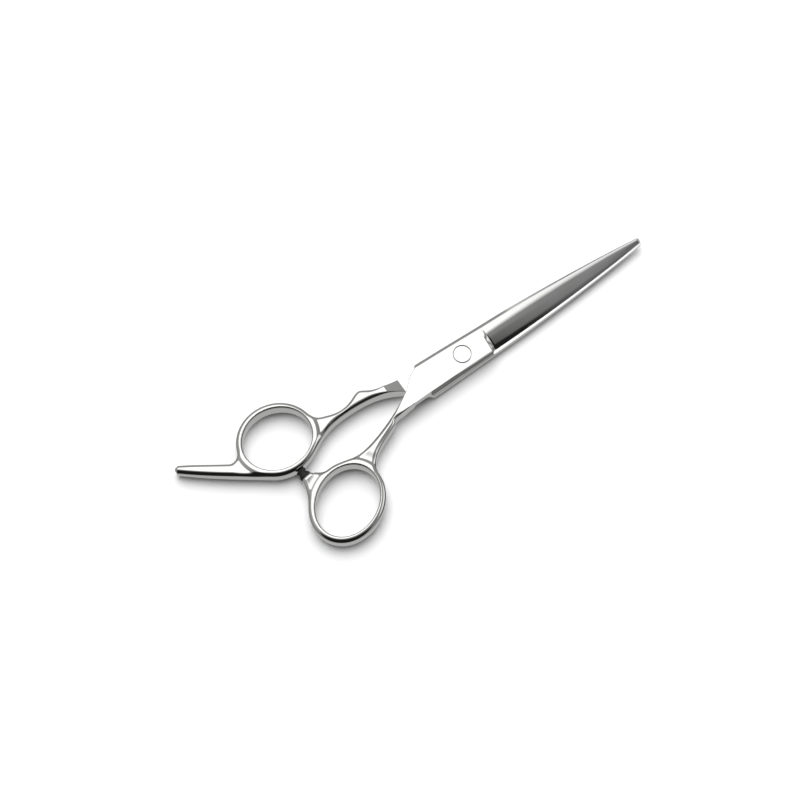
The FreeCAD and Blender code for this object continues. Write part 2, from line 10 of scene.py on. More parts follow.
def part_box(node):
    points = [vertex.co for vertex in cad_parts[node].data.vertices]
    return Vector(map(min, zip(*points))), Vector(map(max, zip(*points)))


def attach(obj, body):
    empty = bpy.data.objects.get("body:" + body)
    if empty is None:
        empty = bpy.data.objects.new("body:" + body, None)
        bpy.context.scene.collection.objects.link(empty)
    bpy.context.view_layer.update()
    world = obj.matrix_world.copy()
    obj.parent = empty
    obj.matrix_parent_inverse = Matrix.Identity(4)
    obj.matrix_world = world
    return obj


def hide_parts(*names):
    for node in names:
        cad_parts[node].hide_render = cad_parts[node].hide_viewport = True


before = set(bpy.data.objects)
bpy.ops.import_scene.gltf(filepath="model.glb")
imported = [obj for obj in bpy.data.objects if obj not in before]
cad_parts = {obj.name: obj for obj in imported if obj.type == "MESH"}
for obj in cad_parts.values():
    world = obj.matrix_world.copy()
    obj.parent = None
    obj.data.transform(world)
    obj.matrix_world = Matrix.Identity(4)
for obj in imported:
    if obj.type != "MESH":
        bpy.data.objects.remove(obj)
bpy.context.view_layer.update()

MM = 0.001

# Lengths are in millimetres until a mesh is made.
# Levels and places that the looks share with the CAD frame.
THUMB_BOX = [Vector(corner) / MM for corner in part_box("thumb_blade")]
FINGER_BOX = [Vector(corner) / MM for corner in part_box("finger_blade")]
SEAM = THUMB_BOX[0].x
TIP = THUMB_BOX[1].x
PLATE = THUMB_BOX[1].z - THUMB_BOX[0].z
THUMB_INNER = THUMB_BOX[0].z
FINGER_INNER = FINGER_BOX[1].z
MIDDLE = (THUMB_INNER + FINGER_INNER) / 2


def smoothstep(value, low, high):
    share = np.clip((value - low) / (high - low), 0.0, 1.0)
    return share * share * (3 - 2 * share)


# ---------------------------------------------------------------- camera and studio

CAMERA_AT = Vector((-117.5, -133.7, 472.8)) * MM
LOOK_AT = Vector((-24.99, 0.24, 0.0)) * MM


def make_camera():
    data = bpy.data.cameras.new("camera")
    data.lens = 67.5
    data.sensor_width = 36.0
    data.clip_start = 0.01
    camera = bpy.data.objects.new("camera", data)
    bpy.context.scene.collection.objects.link(camera)
    camera.location = CAMERA_AT
    camera.rotation_euler = (LOOK_AT - CAMERA_AT).to_track_quat("-Z", "Y").to_euler()
    bpy.context.scene.camera = camera


def studio_direction(azimuth, elevation):
    """Azimuth turns left from straight behind the object, elevation is over the table, in degrees."""
    a, e = math.radians(azimuth), math.radians(elevation)
    back = (LOOK_AT - CAMERA_AT).to_2d().normalized().to_3d()
    left = Vector((-back.y, back.x, 0))
    return (back * math.cos(a) + left * math.sin(a)) * math.cos(e) + Vector((0, 0, math.sin(e)))


# azimuth, elevation, full inside and gone outside these angles, brightness
STUDIO_PATCHES = [
    (26, 65, 10, 31, 1.5),        # softbox behind and above
    (-80, 22, 12, 28, 1.0),       # window on the right
    (-128, 40, 10, 30, -0.14),    # the dark door beside it
    (85, 35, 10, 45, 0.15),       # wall on the left
    (0, 8, 30, 70, 0.08),         # wall behind
    (180, 18, 46, 62, -0.34),     # the dark room in front
    (-75, -28, 12, 32, -0.3),     # the dark gap under the window
    (-150, -75, 24, 44, 0.22),    # the lit table under and around the object
]
STUDIO_BASE = 0.34
STUDIO_DARKEST = 0.014


def make_world():
    """A pale studio with a softbox behind the object and a dark room in front of it."""
    world = bpy.data.worlds.new("studio")
    bpy.context.scene.world = world
    world.use_nodes = True
    nodes, links = world.node_tree.nodes, world.node_tree.links
    nodes["Background"].inputs["Color"].default_value = (1, 1, 1, 1)
    coord = nodes.new("ShaderNodeTexCoord")
    total = None
    for azimuth, elevation, inner, outer, bright in STUDIO_PATCHES:
        dot = nodes.new("ShaderNodeVectorMath")
        dot.operation = "DOT_PRODUCT"
        dot.inputs[1].default_value = studio_direction(azimuth, elevation)
        links.new(coord.outputs["Generated"], dot.inputs[0])
        patch = nodes.new("ShaderNodeMapRange")
        patch.interpolation_type = "SMOOTHSTEP"
        patch.inputs["From Min"].default_value = math.cos(math.radians(outer))
        patch.inputs["From Max"].default_value = math.cos(math.radians(inner))
        patch.inputs["To Min"].default_value = 0.0
        patch.inputs["To Max"].default_value = bright
        links.new(dot.outputs["Value"], patch.inputs["Value"])
        add = nodes.new("ShaderNodeMath")
        add.inputs[1].default_value = STUDIO_BASE
        if total is not None:
            links.new(total, add.inputs[1])
        links.new(patch.outputs[0], add.inputs[0])
        total = add.outputs[0]
    floor = nodes.new("ShaderNodeMath")
    floor.operation = "MAXIMUM"
    floor.inputs[1].default_value = STUDIO_DARKEST
    links.new(total, floor.inputs[0])
    links.new(floor.outputs[0], nodes["Background"].inputs["Strength"])


def make_lights():
    """A broad area light for the table: it lights what is matt and shows in no reflection."""
    data = bpy.data.lights.new("key", "AREA")
    data.shape = "DISK"
    data.size = 1.7
    data.energy = 22.0
    key = bpy.data.objects.new("key", data)
    bpy.context.scene.collection.objects.link(key)
    key.location = Vector((0.25, 0.62, 1.15))
    key.rotation_euler = (Vector((0, 0, 0)) - key.location).to_track_quat("-Z", "Y").to_euler()
    key.visible_glossy = False
    key.visible_camera = False


def make_floor():
    """The pale table. Polished steel mirrors the studio's lower half in its place."""
    half = 6.0
    corners = [(-half, -half, 0), (half, -half, 0), (half, half, 0), (-half, half, 0)]
    mesh = bpy.data.meshes.new("floor")
    mesh.from_pydata(corners, [], [(0, 1, 2, 3)])
    floor = bpy.data.objects.new("floor", mesh)
    bpy.context.scene.collection.objects.link(floor)
    material = bpy.data.materials.new("floor")
    material.use_nodes = True
    shader = material.node_tree.nodes["Principled BSDF"]
    shader.inputs["Base Color"].default_value = (0.9, 0.9, 0.9, 1)
    shader.inputs["Roughness"].default_value = 0.6
    mesh.materials.append(material)
    floor.visible_glossy = False


# ---------------------------------------------------------------- materials

class Shader:
    """A material with short ways to add and link its nodes."""

    def __init__(self, name, **sockets):
        self.material = bpy.data.materials.new(name)
        self.material.use_nodes = True
        self.tree = self.material.node_tree
        self.surface = self.tree.nodes["Principled BSDF"]
        self.set(self.surface, sockets)
        self.place = self.node("ShaderNodeTexCoord").outputs["Object"]

    def set(self, node, sockets):
        for socket, value in sockets.items():
            if isinstance(value, bpy.types.NodeSocket):
                self.tree.links.new(value, node.inputs[socket])
            else:
                node.inputs[socket].default_value = value

    def node(self, kind, sockets=None, **settings):
        node = self.tree.nodes.new(kind)
        for setting, value in settings.items():
            setattr(node, setting, value)
        self.set(node, sockets or {})
        return node

    def math(self, operation, first, second):
        return self.node("ShaderNodeMath", {0: first, 1: second}, operation=operation).outputs[0]

    def noise(self, scale, detail=3.0, stretch=(1, 1, 1), turn=0.0):
        """Noise whose features are about 1 / scale metres, drawn out where stretch is small."""
        mapping = self.node("ShaderNodeMapping", {
            "Vector": self.place,
            "Rotation": (0, 0, math.radians(turn)),
            "Scale": stretch,
        })
        return self.node("ShaderNodeTexNoise", {
            "Vector": mapping.outputs[0],
            "Scale": scale,
            "Detail": detail,
        }).outputs["Fac"]

    def spread(self, value, low, high, to_low=0.0, to_high=1.0):
        return self.node("ShaderNodeMapRange", {
            "Value": value, "From Min": low, "From Max": high, "To Min": to_low, "To Max": to_high,
        }, clamp=True).outputs[0]

    def blend(self, share, first, second):
        mix = self.node("ShaderNodeMix", data_type="RGBA")
        self.set(mix, {0: share, 6: first, 7: second})
        return mix.outputs[2]

    def bump(self, height, strength, depth, under=None):
        node = self.node("ShaderNodeBump", {"Height": height, "Strength": strength, "Distance": depth})
        if under is not None:
            self.tree.links.new(under, node.inputs["Normal"])
        return node.outputs[0]

    def scratches(self, turn, sparse):
        """Hairlines along one direction, 1 on a line."""
        lines = self.noise(1.0, 1.0, (70, 7000, 7000), turn)
        return self.spread(lines, sparse, sparse + 0.06)

    def finish(self, **sockets):
        self.set(self.surface, sockets)
        return self.material


def polished_steel(name, tone, shine, turns):
    """Mirror-polished stainless steel: hairlines from use, fingerprints' haze, a faint grain."""
    s = Shader(name, Metallic=1.0)
    haze = s.noise(160, 5)
    patches = s.noise(45, 2)
    lines = None
    for turn in turns:
        more = s.scratches(turn, 0.68)
        lines = more if lines is None else s.math("MAXIMUM", lines, more)
    worn = s.math("MULTIPLY", lines, s.spread(patches, 0.4, 0.62))
    colour = s.blend(s.spread(haze, 0.3, 0.72), [c * 0.955 for c in tone] + [1], list(tone) + [1])
    rough = s.math("ADD", s.spread(haze, 0.36, 0.7, shine, shine * 2.1), s.math("MULTIPLY", worn, 0.10))
    grain = s.noise(1.0, 2.0, (300, 2600, 2600), turns[0])
    relief = s.bump(grain, 0.06, 0.00001)
    relief = s.bump(worn, 0.10, 0.000015, relief)
    return s.finish(**{"Base Color": colour, "Roughness": rough, "Normal": relief})


def steel_of_blades(name):
    """Mirror steel on the plate; the ground face keeps the fine lines of its grinding."""
    s = Shader(name, Metallic=1.0)
    along = s.node("ShaderNodeSeparateXYZ", {0: s.place}).outputs["X"]
    ground = s.spread(along, 0.0105, 0.0125)
    haze = s.noise(170, 5)
    patches = s.noise(50, 2)
    lines = s.math("MAXIMUM", s.scratches(4, 0.67), s.scratches(-31, 0.7))
    worn = s.math("MULTIPLY", lines, s.spread(patches, 0.4, 0.62))
    tint = s.spread(along, 0.02, 0.045)
    steel = s.blend(tint, (0.645, 0.645, 0.63, 1), (0.64, 0.63, 0.645, 1))
    colour = s.blend(s.spread(haze, 0.3, 0.72), (0.6, 0.6, 0.59, 1), steel)
    grind = s.noise(1.0, 3.0, (5200, 160, 160), 12)
    rough = s.spread(haze, 0.36, 0.7, 0.035, 0.075)
    rough = s.math("ADD", rough, s.math("MULTIPLY", ground, 0.05))
    rough = s.math("ADD", rough, s.math("MULTIPLY", worn, 0.1))
    relief = s.bump(s.math("MULTIPLY", grind, ground), 0.1, 0.00001)
    wavy = s.math("SUBTRACT", s.noise(58, 1.0), 0.5)
    wavy = s.math("MULTIPLY", wavy, s.spread(along, 0.003, 0.0085, 1.0, 0.0))
    relief = s.bump(wavy, 1.0, 0.0008, relief)
    relief = s.bump(worn, 0.1, 0.000015, relief)
    return s.finish(**{"Base Color": colour, "Roughness": rough, "Normal": relief})


def turned_steel(name, tone, rings):
    """Steel faced on a lathe: fine rings about the pivot axis."""
    s = Shader(name, Metallic=1.0)
    parts = s.node("ShaderNodeSeparateXYZ", {0: s.place})
    flat = s.node("ShaderNodeCombineXYZ", {0: parts.outputs[0], 1: parts.outputs[1]}).outputs[0]
    radius = s.node("ShaderNodeVectorMath", {0: flat}, operation="LENGTH").outputs["Value"]
    ring = s.node("ShaderNodeTexNoise", {"W": radius, "Scale": rings, "Detail": 2.0},
                  noise_dimensions="1D").outputs["Fac"]
    haze = s.noise(300, 4)
    lines = s.scratches(24, 0.69)
    colour = s.blend(s.spread(haze, 0.3, 0.7), [c * 0.94 for c in tone] + [1], list(tone) + [1])
    rough = s.math("ADD", s.spread(haze, 0.35, 0.7, 0.05, 0.10), s.math("MULTIPLY", lines, 0.12))
    relief = s.bump(ring, 0.12, 0.00001)
    return s.finish(**{"Base Color": colour, "Roughness": rough, "Normal": relief})


def spring_steel(name):
    """Rolled strip, darker than the blades, with its rolling lines."""
    s = Shader(name, Metallic=1.0)
    rolled = s.noise(1.0, 3.0, (300, 9000, 300), 15)
    haze = s.noise(600, 4)
    colour = s.blend(haze, (0.36, 0.33, 0.28, 1), (0.48, 0.46, 0.43, 1))
    rough = s.spread(rolled, 0.3, 0.7, 0.22, 0.4)
    return s.finish(**{"Base Color": colour, "Roughness": rough, "Normal": s.bump(rolled, 0.3, 0.00001)})


def bush_polymer(name):
    """Off-white bearing plastic with a fine moulded grain and grey rubbed patches."""
    s = Shader(name, **{"Subsurface Weight": 0.08})
    grain = s.noise(5000, 3)
    rubbed = s.noise(500, 4)
    colour = s.blend(s.spread(rubbed, 0.45, 0.7), (0.78, 0.77, 0.72, 1), (0.5, 0.49, 0.46, 1))
    rough = s.spread(rubbed, 0.4, 0.7, 0.42, 0.6)
    return s.finish(**{"Base Color": colour, "Roughness": rough, "Normal": s.bump(grain, 0.3, 0.00003)})


def black_rubber(name):
    """Soft black rubber: pebbled, a little dusty."""
    s = Shader(name)
    pebble = s.noise(4200, 4)
    dust = s.noise(900, 6)
    lint = s.spread(s.noise(2600, 2), 0.66, 0.72)
    colour = s.blend(s.spread(dust, 0.42, 0.75), (0.0085, 0.0088, 0.008, 1), (0.022, 0.022, 0.02, 1))
    colour = s.blend(s.math("MULTIPLY", lint, 0.35), colour, (0.12, 0.12, 0.11, 1))
    rough = s.spread(dust, 0.35, 0.7, 0.5, 0.78)
    return s.finish(**{"Base Color": colour, "Roughness": rough, "Normal": s.bump(pebble, 0.5, 0.00006)})


# ---------------------------------------------------------------- meshes

def mesh_from(name, points, faces):
    mesh = bpy.data.meshes.new(name)
    mesh.from_pydata([tuple(p) for p in points], [], [tuple(int(i) for i in f) for f in faces])
    mesh.update()
    return mesh


def add_piece(name, mesh, material, node, body):
    """Puts a mesh, in millimetres in the object's frame, into the scene in a CAD node's place."""
    mesh.transform(Matrix.Scale(MM, 4))
    mesh.materials.clear()
    mesh.materials.append(material)
    piece = bpy.data.objects.new(name, mesh)
    bpy.context.scene.collection.objects.link(piece)
    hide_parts(node)
    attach(piece, body)


def applied(mesh, *modifiers):
    """The mesh after some modifiers, each (type, settings)."""
    holder = bpy.data.objects.new("holder", mesh)
    bpy.context.scene.collection.objects.link(holder)
    for kind, settings in modifiers:
        modifier = holder.modifiers.new(kind, kind)
        for setting, value in settings.items():
            setattr(modifier, setting, value)
    bpy.context.view_layer.update()
    done = bpy.data.meshes.new_from_object(holder.evaluated_get(bpy.context.evaluated_depsgraph_get()))
    bpy.data.objects.remove(holder)
    return done


def joined(mesh, other, operation):
    """mesh with other added (UNION) or taken away (DIFFERENCE)."""
    tool = bpy.data.objects.new("tool", other)
    bpy.context.scene.collection.objects.link(tool)
    done = applied(mesh, ("BOOLEAN", {"operation": operation, "solver": "EXACT", "object": tool}))
    bpy.data.objects.remove(tool)
    return done


def shaded(mesh, sharp=32.0):
    """Smooth shading that keeps edges over an angle sharp and flat faces flat."""
    form = bmesh.new()
    form.from_mesh(mesh)
    bmesh.ops.remove_doubles(form, verts=form.verts, dist=1e-4)
    bmesh.ops.dissolve_degenerate(form, edges=form.edges, dist=1e-4)
    for face in form.faces:
        face.smooth = True
    for edge in form.edges:
        edge.smooth = edge.calc_face_angle(0.0) < math.radians(sharp)
    form.to_mesh(mesh)
    form.free()
    return applied(mesh, ("WEIGHTED_NORMAL", {"keep_sharp": True, "weight": 80}))


def turned(profile, around=128):
    """A closed solid turned about Z: profile runs once round its half section, (radius, height)."""
    points = []
    for radius, height in profile:
        for k in range(around):
            angle = 2 * math.pi * k / around
            points.append((radius * math.cos(angle), radius * math.sin(angle), height))
    faces = []
    count = len(profile)
    for i in range(count):
        here, after = i * around, (i + 1) % count * around
        for k in range(around):
            then = (k + 1) % around
            faces.append((here + k, here + then, after + then, after + k))
    mesh = mesh_from("turned", points, faces)
    form = bmesh.new()
    form.from_mesh(mesh)
    bmesh.ops.remove_doubles(form, verts=form.verts, dist=1e-5)
    bmesh.ops.dissolve_degenerate(form, edges=form.edges, dist=1e-5)
    bmesh.ops.delete(form, geom=[e for e in form.edges if not e.link_faces], context="EDGES")
    bmesh.ops.delete(form, geom=[v for v in form.verts if not v.link_faces], context="VERTS")
    bmesh.ops.recalc_face_normals(form, faces=form.faces)
    form.to_mesh(mesh)
    form.free()
    return mesh


def rounded_path(corners, steps=4):
    """A closed path through (y, z, radius) corners, each replaced by a small arc where it has a radius."""
    path = []
    for i, (y, z, radius) in enumerate(corners):
        if radius == 0:
            path.append((y, z))
            continue
        here = Vector((y, z))
        to_last = Vector(corners[i - 1][:2]) - here
        to_next = Vector(corners[(i + 1) % len(corners)][:2]) - here
        reach = min(radius, 0.45 * to_last.length, 0.45 * to_next.length)
        start = here + to_last.normalized() * reach
        end = here + to_next.normalized() * reach
        for k in range(steps + 1):
            t = k / steps
            path.append(tuple(start * (1 - t) ** 2 + here * (2 * t * (1 - t)) + end * t ** 2))
    return path


def prism(half, low, high, corner=0.15):
    """A square bar about Z with rounded corners."""
    signs = ((-1, -1), (1, -1), (1, 1), (-1, 1))
    square = rounded_path([(x * half, y * half, corner) for x, y in signs])
    count = len(square)
    points = [(x, y, low) for x, y in square] + [(x, y, high) for x, y in square]
    faces = [(k, (k + 1) % count, count + (k + 1) % count, count + k) for k in range(count)]
    faces += [tuple(range(count))[::-1], tuple(range(count, 2 * count))]
    return mesh_from("prism", points, faces)


# ---------------------------------------------------------------- handles: rounded castings over their plan

class Outline:
    """A smooth closed line round a wall, cut at breaks into stretches; the solid is on its left."""

    SPACING = 0.12
    # how far a stretch runs straight on past its ends
    RUN_ON = 1.45
    # a turn over this is a corner, not a curve
    CORNER = math.radians(32)
    # a turn under this is only where a triangle of a flat wall ends
    STRAIGHT = math.radians(0.15)

    def __init__(self, corners, solid_inside, breaks=()):
        following = np.roll(corners, -1, 0)
        area = (corners[:, 0] * following[:, 1] - following[:, 0] * corners[:, 1]).sum()
        if (area > 0) != solid_inside:
            corners = corners[::-1]
        corners = corners[np.abs(self.legs(corners)[-1]) > self.STRAIGHT]
        run, length, way, last_way, last_length, turn = self.legs(corners)
        smooth = np.abs(turn) < self.CORNER
        through = last_way * length[:, None] + way * last_length[:, None]
        through /= np.linalg.norm(through, axis=1)[:, None]
        leaving = np.where(smooth[:, None], through, way)
        arriving = np.where(smooth[:, None], through, last_way)
        arriving = np.roll(arriving, -1, 0)
        points, tangents = [], []
        for i in range(len(corners)):
            steps = max(2, math.ceil(length[i] / self.SPACING))
            t = ((np.arange(steps) + 0.5) / steps)[:, None]
            start, end = corners[i], corners[i] + run[i]
            a, b = leaving[i] * length[i], arriving[i] * length[i]
            points.append((2 * t**3 - 3 * t**2 + 1) * start + (t**3 - 2 * t**2 + t) * a
                          + (3 * t**2 - 2 * t**3) * end + (t**3 - t**2) * b)
            tangents.append((6 * t**2 - 6 * t) * start + (3 * t**2 - 4 * t + 1) * a
                            + (6 * t - 6 * t**2) * end + (3 * t**2 - 2 * t) * b)
        self.points = np.concatenate(points)
        tangents = np.concatenate(tangents)
        angle = np.unwrap(np.arctan2(tangents[:, 1], tangents[:, 0]))
        angle = self.settled(angle)
        self.tangents = np.stack([np.cos(angle), np.sin(angle)], 1)
        self.normals = np.stack([-self.tangents[:, 1], self.tangents[:, 0]], 1)
        span = np.linalg.norm(np.roll(self.points, -1, 0) - np.roll(self.points, 1, 0), axis=1)
        swing = np.roll(angle, -1) - np.roll(angle, 1)
        swing = (swing + math.pi) % (2 * math.pi) - math.pi
        self.curvature = np.where(np.abs(swing) < self.CORNER, swing / span, 0.0)
        ends = sorted({int(np.argmin(((self.points - end) ** 2).sum(1))) for end in breaks})
        everything = np.arange(len(self.points))
        if ends:
            everything = np.roll(everything, -ends[0])
            stretches = np.split(everything, [end - ends[0] for end in ends[1:]])
        else:
            stretches = [everything]
        self.trees = [self.tree_of(stretch) for stretch in stretches]
        self.is_end = np.zeros(len(self.points), bool)
        if ends:
            for stretch in stretches:
                self.is_end[[stretch[0], stretch[-1]]] = True

    @staticmethod
    def legs(corners):
        """The legs from each corner to the next and before it, and the turn at each corner."""
        run = np.roll(corners, -1, 0) - corners
        length = np.linalg.norm(run, axis=1)
        way = run / length[:, None]
        last_way, last_length = np.roll(way, 1, 0), np.roll(length, 1)
        turn = np.arctan2(last_way[:, 0] * way[:, 1] - last_way[:, 1] * way[:, 0], (last_way * way).sum(1))
        return run, length, way, last_way, last_length, turn

    def tree_of(self, stretch):
        tree = KDTree(len(stretch))
        for i in stretch:
            tree.insert((*self.points[i], 0), int(i))
        tree.balance()
        return tree

    def settled(self, angle):
        """Evens out the direction along smooth stretches, so that reflections run true."""
        whole = round((angle[-1] - angle[0]) / (2 * math.pi)) * 2 * math.pi
        for _ in range(30):
            after = np.roll(angle, -1)
            after[-1] += whole
            before = np.roll(angle, 1)
            before[0] -= whole
            even = (before + 2 * angle + after) / 4
            steady = (np.abs(after - angle) < 0.25) & (np.abs(angle - before) < 0.25)
            angle = np.where(steady, even, angle)
        return angle

    def measure(self, places):
        """For each stretch of the line, the depth of places behind it and the inward direction."""
        parts = [self.depth(places, tree) for tree in self.trees]
        nearest = np.stack([part[2] for part in parts]).argmin(0)
        return [(np.where((nearest != k) & at_end & (away > self.RUN_ON), away, depth), inward)
                for k, (depth, inward, away, at_end) in enumerate(parts)]

    def depth(self, places, tree):
        nearest = np.array([tree.find((x, y, 0))[1] for x, y in places])
        offset = places - self.points[nearest]
        tangent, normal, curve = self.tangents[nearest], self.normals[nearest], self.curvature[nearest]
        along = (offset * tangent).sum(1)
        depth = (offset * normal).sum(1)
        foot = along / np.maximum(1 - curve * depth, 0.2)
        inward = normal - (curve * foot)[:, None] * tangent
        inward /= np.linalg.norm(inward, axis=1)[:, None]
        depth = depth - 0.5 * curve * along * foot
        return depth, inward, np.linalg.norm(offset, axis=1), self.is_end[nearest]


def plan_loops(node, height):
    """The closed outlines of a CAD node's walls at one height, the longest first."""
    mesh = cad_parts[node].data
    mesh.calc_loop_triangles()
    points = np.array([v.co for v in mesh.vertices]) / MM
    triangles = np.array([t.vertices for t in mesh.loop_triangles])
    after, places = {}, {}
    for triangle in points[triangles]:
        above = triangle[:, 2] > height
        if above.all() or not above.any():
            continue
        ends = []
        for a, b in ((0, 1), (1, 2), (2, 0)):
            if above[a] != above[b]:
                share = (height - triangle[a, 2]) / (triangle[b, 2] - triangle[a, 2])
                place = triangle[a, :2] + share * (triangle[b, :2] - triangle[a, :2])
                key = tuple(np.round(place, 3))
                places[key] = place
                ends.append((above[a], key))
        ends.sort(key=lambda end: end[0])
        if ends[0][1] != ends[1][1]:
            after[ends[0][1]] = ends[1][1]
    loops = []
    while after:
        first, following = after.popitem()
        loop = [first]
        while following != first:
            loop.append(following)
            following = after.pop(following)
        loops.append(np.array([places[key] for key in loop]))
    return sorted(loops, key=len, reverse=True)


def carried_on(loop, reach=1.6):
    """The outline with its end at the seam moved on by a reach, for a clean cut there later."""
    at_seam = loop[:, 0] > SEAM - 1e-3
    start = int(np.argmax(at_seam & ~np.roll(at_seam, 1)))
    order, at_seam = np.roll(loop, -start, 0), np.roll(at_seam, -start)
    first, last = order[at_seam][[0, -1]]
    rest = order[~at_seam]
    on = []
    for end, near in ((first, rest[-1]), (last, rest[0])):
        slope = (end[1] - near[1]) / (end[0] - near[0])
        on.append(np.array([SEAM + reach, end[1] + slope * reach]))
    return np.array([first, on[0], on[1], last, *rest])


def side_line(line, x):
    """Height and slope of a side profile at x: straight over its first stretch, then a smooth curve."""
    knots = np.array(line[::-1], float)
    slopes = np.gradient(knots[:, 1], knots[:, 0])
    slopes[-2] = (knots[-2, 1] - knots[-3, 1]) / (knots[-2, 0] - knots[-3, 0])
    i = np.clip(np.searchsorted(knots[:, 0], x) - 1, 0, len(knots) - 2)
    gap = knots[i + 1, 0] - knots[i, 0]
    t = (x - knots[i, 0]) / gap
    a, b = knots[i, 1], knots[i + 1, 1]
    straight = i == len(knots) - 2
    m, n = slopes[i] * gap, slopes[i + 1] * gap
    m = np.where(straight, b - a, m)
    n = np.where(straight, b - a, n)
    height = (2 * t**3 - 3 * t**2 + 1) * a + (t**3 - 2 * t**2 + t) * m
    height = height + (3 * t**2 - 2 * t**3) * b + (t**3 - t**2) * n
    slope = ((6 * t**2 - 6 * t) * (a - b) + (3 * t**2 - 4 * t + 1) * m + (3 * t**2 - 2 * t) * n) / gap
    return height + MIDDLE, slope


def surface_net(field):
    """Points in grid units and quads round the zero surface of a sampled field, positive inside."""
    cells = np.array(field.shape) - 1
    total = np.zeros((cells.prod(), 3))
    count = np.zeros(cells.prod())
    quads = []
    for axis in range(3):
        low = np.take(field, np.arange(cells[axis]), axis)
        high = np.take(field, np.arange(1, cells[axis] + 1), axis)
        start = np.argwhere((low > 0) != (high > 0))
        a, b = low[tuple(start.T)], high[tuple(start.T)]
        crossing = start.astype(float)
        crossing[:, axis] += a / (a - b)
        others = [k for k in range(3) if k != axis]
        around = []
        for back in ((0, 0), (1, 0), (1, 1), (0, 1)):
            cell = start.copy()
            cell[:, others[0]] -= back[0]
            cell[:, others[1]] -= back[1]
            index = np.ravel_multi_index(tuple(cell.T), tuple(cells))
            np.add.at(total, index, crossing)
            np.add.at(count, index, 1)
            around.append(index)
        around = np.stack(around, 1)
        flip = (a > 0) == (axis == 1)
        around[flip] = around[flip][:, ::-1]
        quads.append(around)
    quads = np.concatenate(quads)
    used = np.flatnonzero(count)
    number = np.zeros(len(count), int)
    number[used] = np.arange(len(used))
    return total[used] / count[used][:, None], number[quads]


